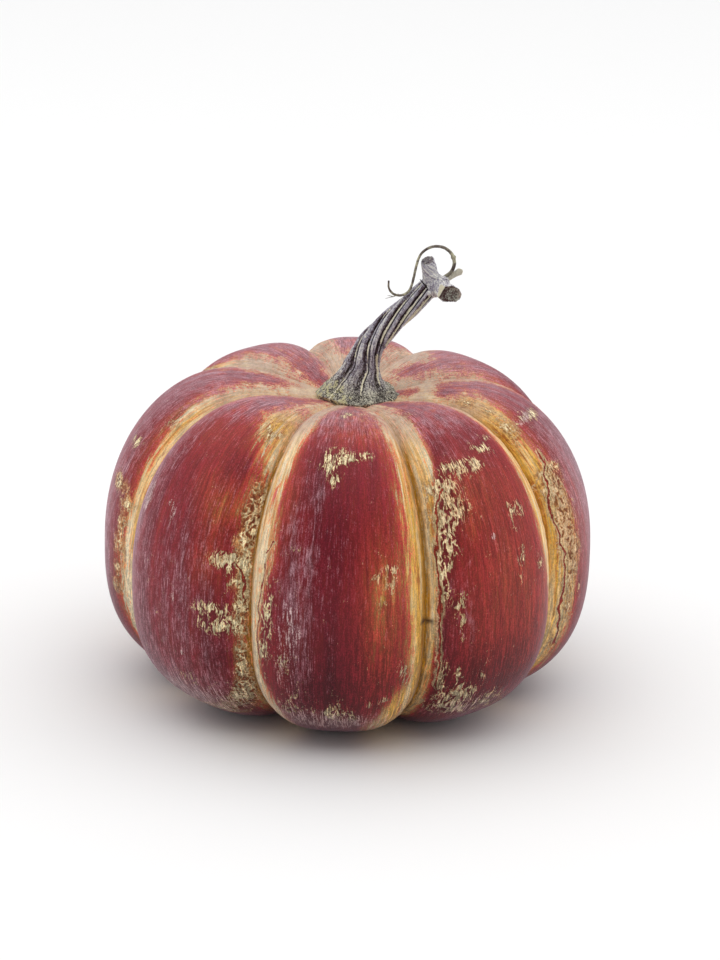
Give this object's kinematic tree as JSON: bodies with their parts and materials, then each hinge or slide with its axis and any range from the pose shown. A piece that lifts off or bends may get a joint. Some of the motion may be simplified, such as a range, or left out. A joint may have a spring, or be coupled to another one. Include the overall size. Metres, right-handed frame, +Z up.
{
  "type": "pumpkin",
  "caption": "Ribbed decorative pumpkin with a red brush-painted skin and golden grooves, a twisted grey stem with cut vine ends, and a thin curled tendril.",
  "frame": {"origin": "on the table, under the middle of the fruit", "axes": "+Z up along the fruit's axis, -Y towards the front, and the stem leans towards +X"},
  "size_m": [0.2398, 0.2398, 0.2238],
  "materials": {
    "painted_skin": "satin paint in maroon and red brush strokes along the ribs, ochre and cream bands in the grooves, cracked cream dry-brush patches",
    "woody_stem": "dry grey ridged stem with dark grooves, thin cream lines on the ridges and pale lichen-like mottling at the foot",
    "dry_tendril": "thin dry brown vine tendril"
  },
  "bodies": {
    "root": {"fruit": "painted_skin", "stem": "woody_stem", "tendril": "dry_tendril"}
  },
  "joints": []
}
